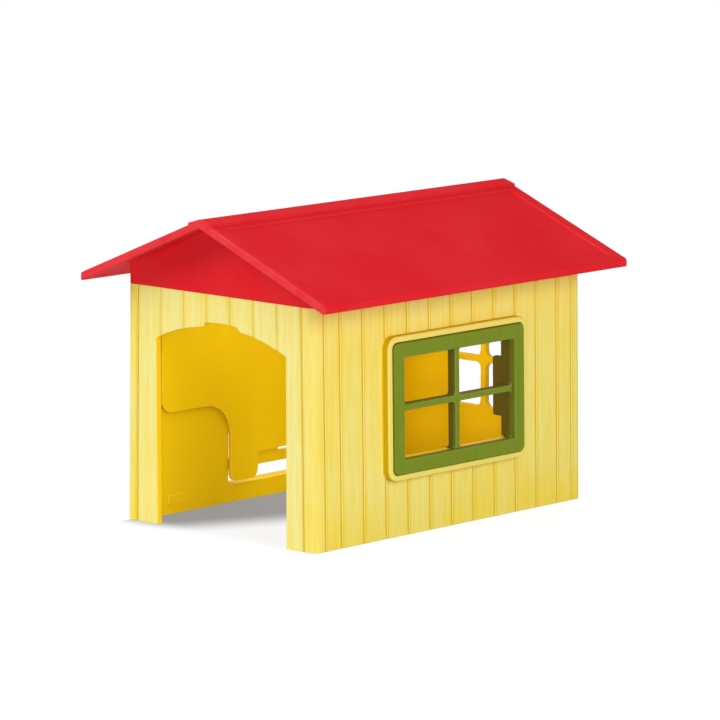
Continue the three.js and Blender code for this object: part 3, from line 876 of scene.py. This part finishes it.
def set_camera(settings):
    """The camera that sees the kennel as the photograph does."""
    clear_old("photo_camera")
    data = bpy.data.cameras.new("photo_camera")
    data.sensor_width = settings.sensor
    data.lens = settings.lens
    data.clip_start = 0.05
    data.clip_end = 20
    camera = bpy.data.objects.new("photo_camera", data)
    right, up, back = view_axes(settings.azimuth, settings.elevation)
    place = right * settings.aim_across + up * settings.aim_up + back * settings.distance
    turn = Matrix((right, up, back)).transposed().to_4x4()
    camera.matrix_world = Matrix.Translation(place) @ turn
    bpy.context.scene.collection.objects.link(camera)
    bpy.context.scene.camera = camera


def add_lamp(name, azimuth, elevation, distance, size, power, mirrored):
    """A square soft lamp that looks at the kennel, with or without a reflection of its own."""
    right, up, back = view_axes(math.radians(azimuth), math.radians(elevation))
    place = Vector((0, 0, LAMP_AIM * MILLIMETRE)) + back * distance
    stand_lamp(name, place, (right, up, back), (size, size), power, mirrored)


def stand_lamp(name, place, axes, size, power, mirrored):
    """A rectangular lamp at a place, with the directions of its width, its height and its back."""
    clear_old(name)
    data = bpy.data.lights.new(name, "AREA")
    data.shape = "RECTANGLE"
    data.size, data.size_y = size
    data.energy = power
    lamp = bpy.data.objects.new(name, data)
    lamp.matrix_world = Matrix.Translation(place) @ Matrix(axes).transposed().to_4x4()
    lamp.visible_camera = False
    lamp.visible_glossy = mirrored
    bpy.context.scene.collection.objects.link(lamp)


def add_room_lamp(power):
    """A broad lamp under the roof, which does what light through thin plastic does in the photograph."""
    half_width, half_length, height = wall_outside()
    height_share, width_share, length_share = ROOM_LAMP_SHARES
    place = Vector((0, 0, height_share * height))
    axes = (Vector((1, 0, 0)), Vector((0, 1, 0)), Vector((0, 0, 1)))
    size = (width_share * half_width, length_share * half_length)
    stand_lamp("room_lamp", place, axes, size, power, mirrored=False)


def seen_share(board):
    """1 where the camera, a reflection or a clear piece looks, and 0 for the light on the kennel."""
    rays = board.add("ShaderNodeLightPath").outputs
    seen = board.math("MAXIMUM", rays["Is Camera Ray"], rays["Is Glossy Ray"])
    return board.math("MAXIMUM", seen, rays["Is Transmission Ray"])


def set_world(level, ceiling):
    """A white surround that lights from all sides, with a dim ceiling where reflections look up."""
    world = bpy.data.worlds.new("white_surround")
    world.use_nodes = True
    world.node_tree.nodes.clear()
    board = Board(world.node_tree)
    sky = board.add("ShaderNodeBackground")
    sky.inputs["Color"].default_value = (1, 1, 1, 1)
    upward = board.parts(board.add("ShaderNodeTexCoord").outputs["Generated"])[2]
    backdrop = board.between(upward, *CEILING_START_SHARES, 1.0, ceiling)
    strength = board.between(seen_share(board), 0.0, 1.0, level, backdrop, smooth=False)
    board.feed(sky.inputs["Strength"], strength)
    output = board.add("ShaderNodeOutputWorld")
    world.node_tree.links.new(sky.outputs[0], output.inputs["Surface"])
    bpy.context.scene.world = world


def floor_glow_and_painted_shadow(board):
    """How bright the floor is seen: a painted shadow inside the kennel on the window's side, and white
    outside.
    """
    x, y, _ = board.parts(board.add("ShaderNodeTexCoord").outputs["Object"])
    half_width, half_length, _ = wall_outside()
    thickness = WALL_THICKNESS * MILLIMETRE
    from_wall = board.math("ADD", x, half_width)
    from_door = board.math("ADD", y, half_length)
    from_painted_shadow = board.math("MULTIPLY_ADD", from_door, PAINTED_SHADOW_SLANT, from_wall)
    shade_start, shade_end = (share * half_width for share in PAINTED_SHADOW_END_SHARES)
    # A painted shadow on the room's floor, darker towards the left wall and the back.
    room = board.between(from_painted_shadow, shade_start, shade_end, *PAINTED_SHADOW_GLOW)
    past_door = board.between(from_door, *metres(*DOOR_FADE), 1.0, 0.0)
    past_sides = board.between(board.math("SUBTRACT", board.math("ABSOLUTE", x), half_width), -thickness, 0.0)
    past_back = board.between(y, half_length - thickness, half_length)
    outside = board.math("MAXIMUM", past_door, board.math("MAXIMUM", past_sides, past_back))
    return board.between(outside, 0.0, 1.0, room, OUTSIDE_GLOW, smooth=False)


def floor_material(colour):
    """A plain white floor that shows the kennel's shadow round its feet, adds a painted shadow inside the
    kennel, and fades into the surround.
    """
    material = bpy.data.materials.new("plain_floor")
    material.use_nodes = True
    material.node_tree.nodes.clear()
    board = Board(material.node_tree)
    shader = board.add("ShaderNodeBsdfPrincipled")
    shader.inputs["Roughness"].default_value = 0.9
    shader.inputs["Specular IOR Level"].default_value = 0.0
    shader.inputs["Emission Color"].default_value = (1, 1, 1, 1)
    seen = seen_share(board)
    board.feed(shader.inputs["Base Color"], board.blend(seen, colour, SEEN_FLOOR))
    board.feed(shader.inputs["Emission Strength"], board.math("MULTIPLY", seen, floor_glow_and_painted_shadow(board)))
    output = board.add("ShaderNodeOutputMaterial")
    material.node_tree.links.new(shader.outputs[0], output.inputs["Surface"])
    return material


def set_floor(settings):
    """A wide flat floor just under the kennel's feet."""
    clear_old("floor")
    half = settings.spread / 2
    mesh = bpy.data.meshes.new("floor")
    corners = [(-half, -half, 0), (half, -half, 0), (half, half, 0), (-half, half, 0)]
    mesh.from_pydata(corners, [], [(0, 1, 2, 3)])
    mesh.materials.append(floor_material(settings.floor_colour))
    floor = bpy.data.objects.new("floor", mesh)
    floor.location.z = -FLOOR_DROP * MILLIMETRE
    bpy.context.scene.collection.objects.link(floor)


class KENNEL_OT_build_stage(Operator):
    """Set the floor, the lamps and the camera"""

    bl_idname = "kennel.build_stage"
    bl_label = "Build Stage"

    def execute(self, context):
        settings = context.scene.kennel_stage
        set_floor(settings)
        set_world(settings.sky_level, settings.ceiling_level)
        for name, azimuth, elevation, distance, size, mirrored in LAMPS:
            power = getattr(settings, name + "_power")
            add_lamp(name + "_lamp", azimuth, elevation, distance, size, power, mirrored)
        add_room_lamp(settings.room_power)
        set_camera(settings)
        context.scene.view_settings.view_transform = "Standard"
        return {"FINISHED"}


class KENNEL_PT_sidebar(Panel):
    """Buttons and settings of the toy kennel"""

    bl_idname = "KENNEL_PT_sidebar"
    bl_label = "Toy Dog Kennel"
    bl_space_type = "VIEW_3D"
    bl_region_type = "UI"
    bl_category = "Kennel"

    def draw(self, context):
        for operator, group in BUTTONS:
            box = self.layout.box()
            box.operator(operator)
            settings = getattr(context.scene, group)
            for name in type(settings).__annotations__:
                box.prop(settings, name)


BUTTONS = (
    ("kennel.build_walls", "kennel_walls"),
    ("kennel.build_window", "kennel_window"),
    ("kennel.build_hatch", "kennel_hatch"),
    ("kennel.build_roof", "kennel_roof"),
    ("kennel.build_stage", "kennel_stage"),
)

GROUPS = {
    "kennel_walls": KennelWallSettings,
    "kennel_window": KennelWindowSettings,
    "kennel_hatch": KennelHatchSettings,
    "kennel_roof": KennelRoofSettings,
    "kennel_stage": KennelStageSettings,
}

CLASSES = (
    *GROUPS.values(),
    KENNEL_OT_build_walls,
    KENNEL_OT_build_window,
    KENNEL_OT_build_hatch,
    KENNEL_OT_build_roof,
    KENNEL_OT_build_stage,
    KENNEL_PT_sidebar,
)


def register():
    """Adds the settings, buttons and panel."""
    for item in CLASSES:
        bpy.utils.register_class(item)
    for name, group in GROUPS.items():
        setattr(bpy.types.Scene, name, PointerProperty(type=group))


def unregister():
    """Takes the settings, buttons and panel away again."""
    for name in GROUPS:
        delattr(bpy.types.Scene, name)
    for item in reversed(CLASSES):
        bpy.utils.unregister_class(item)


def main():
    """Registers the add-on and presses its buttons in order."""
    register()
    bpy.ops.kennel.build_walls()
    bpy.ops.kennel.build_window()
    bpy.ops.kennel.build_hatch()
    bpy.ops.kennel.build_roof()
    bpy.ops.kennel.build_stage()


if __name__ == "__main__":
    main()
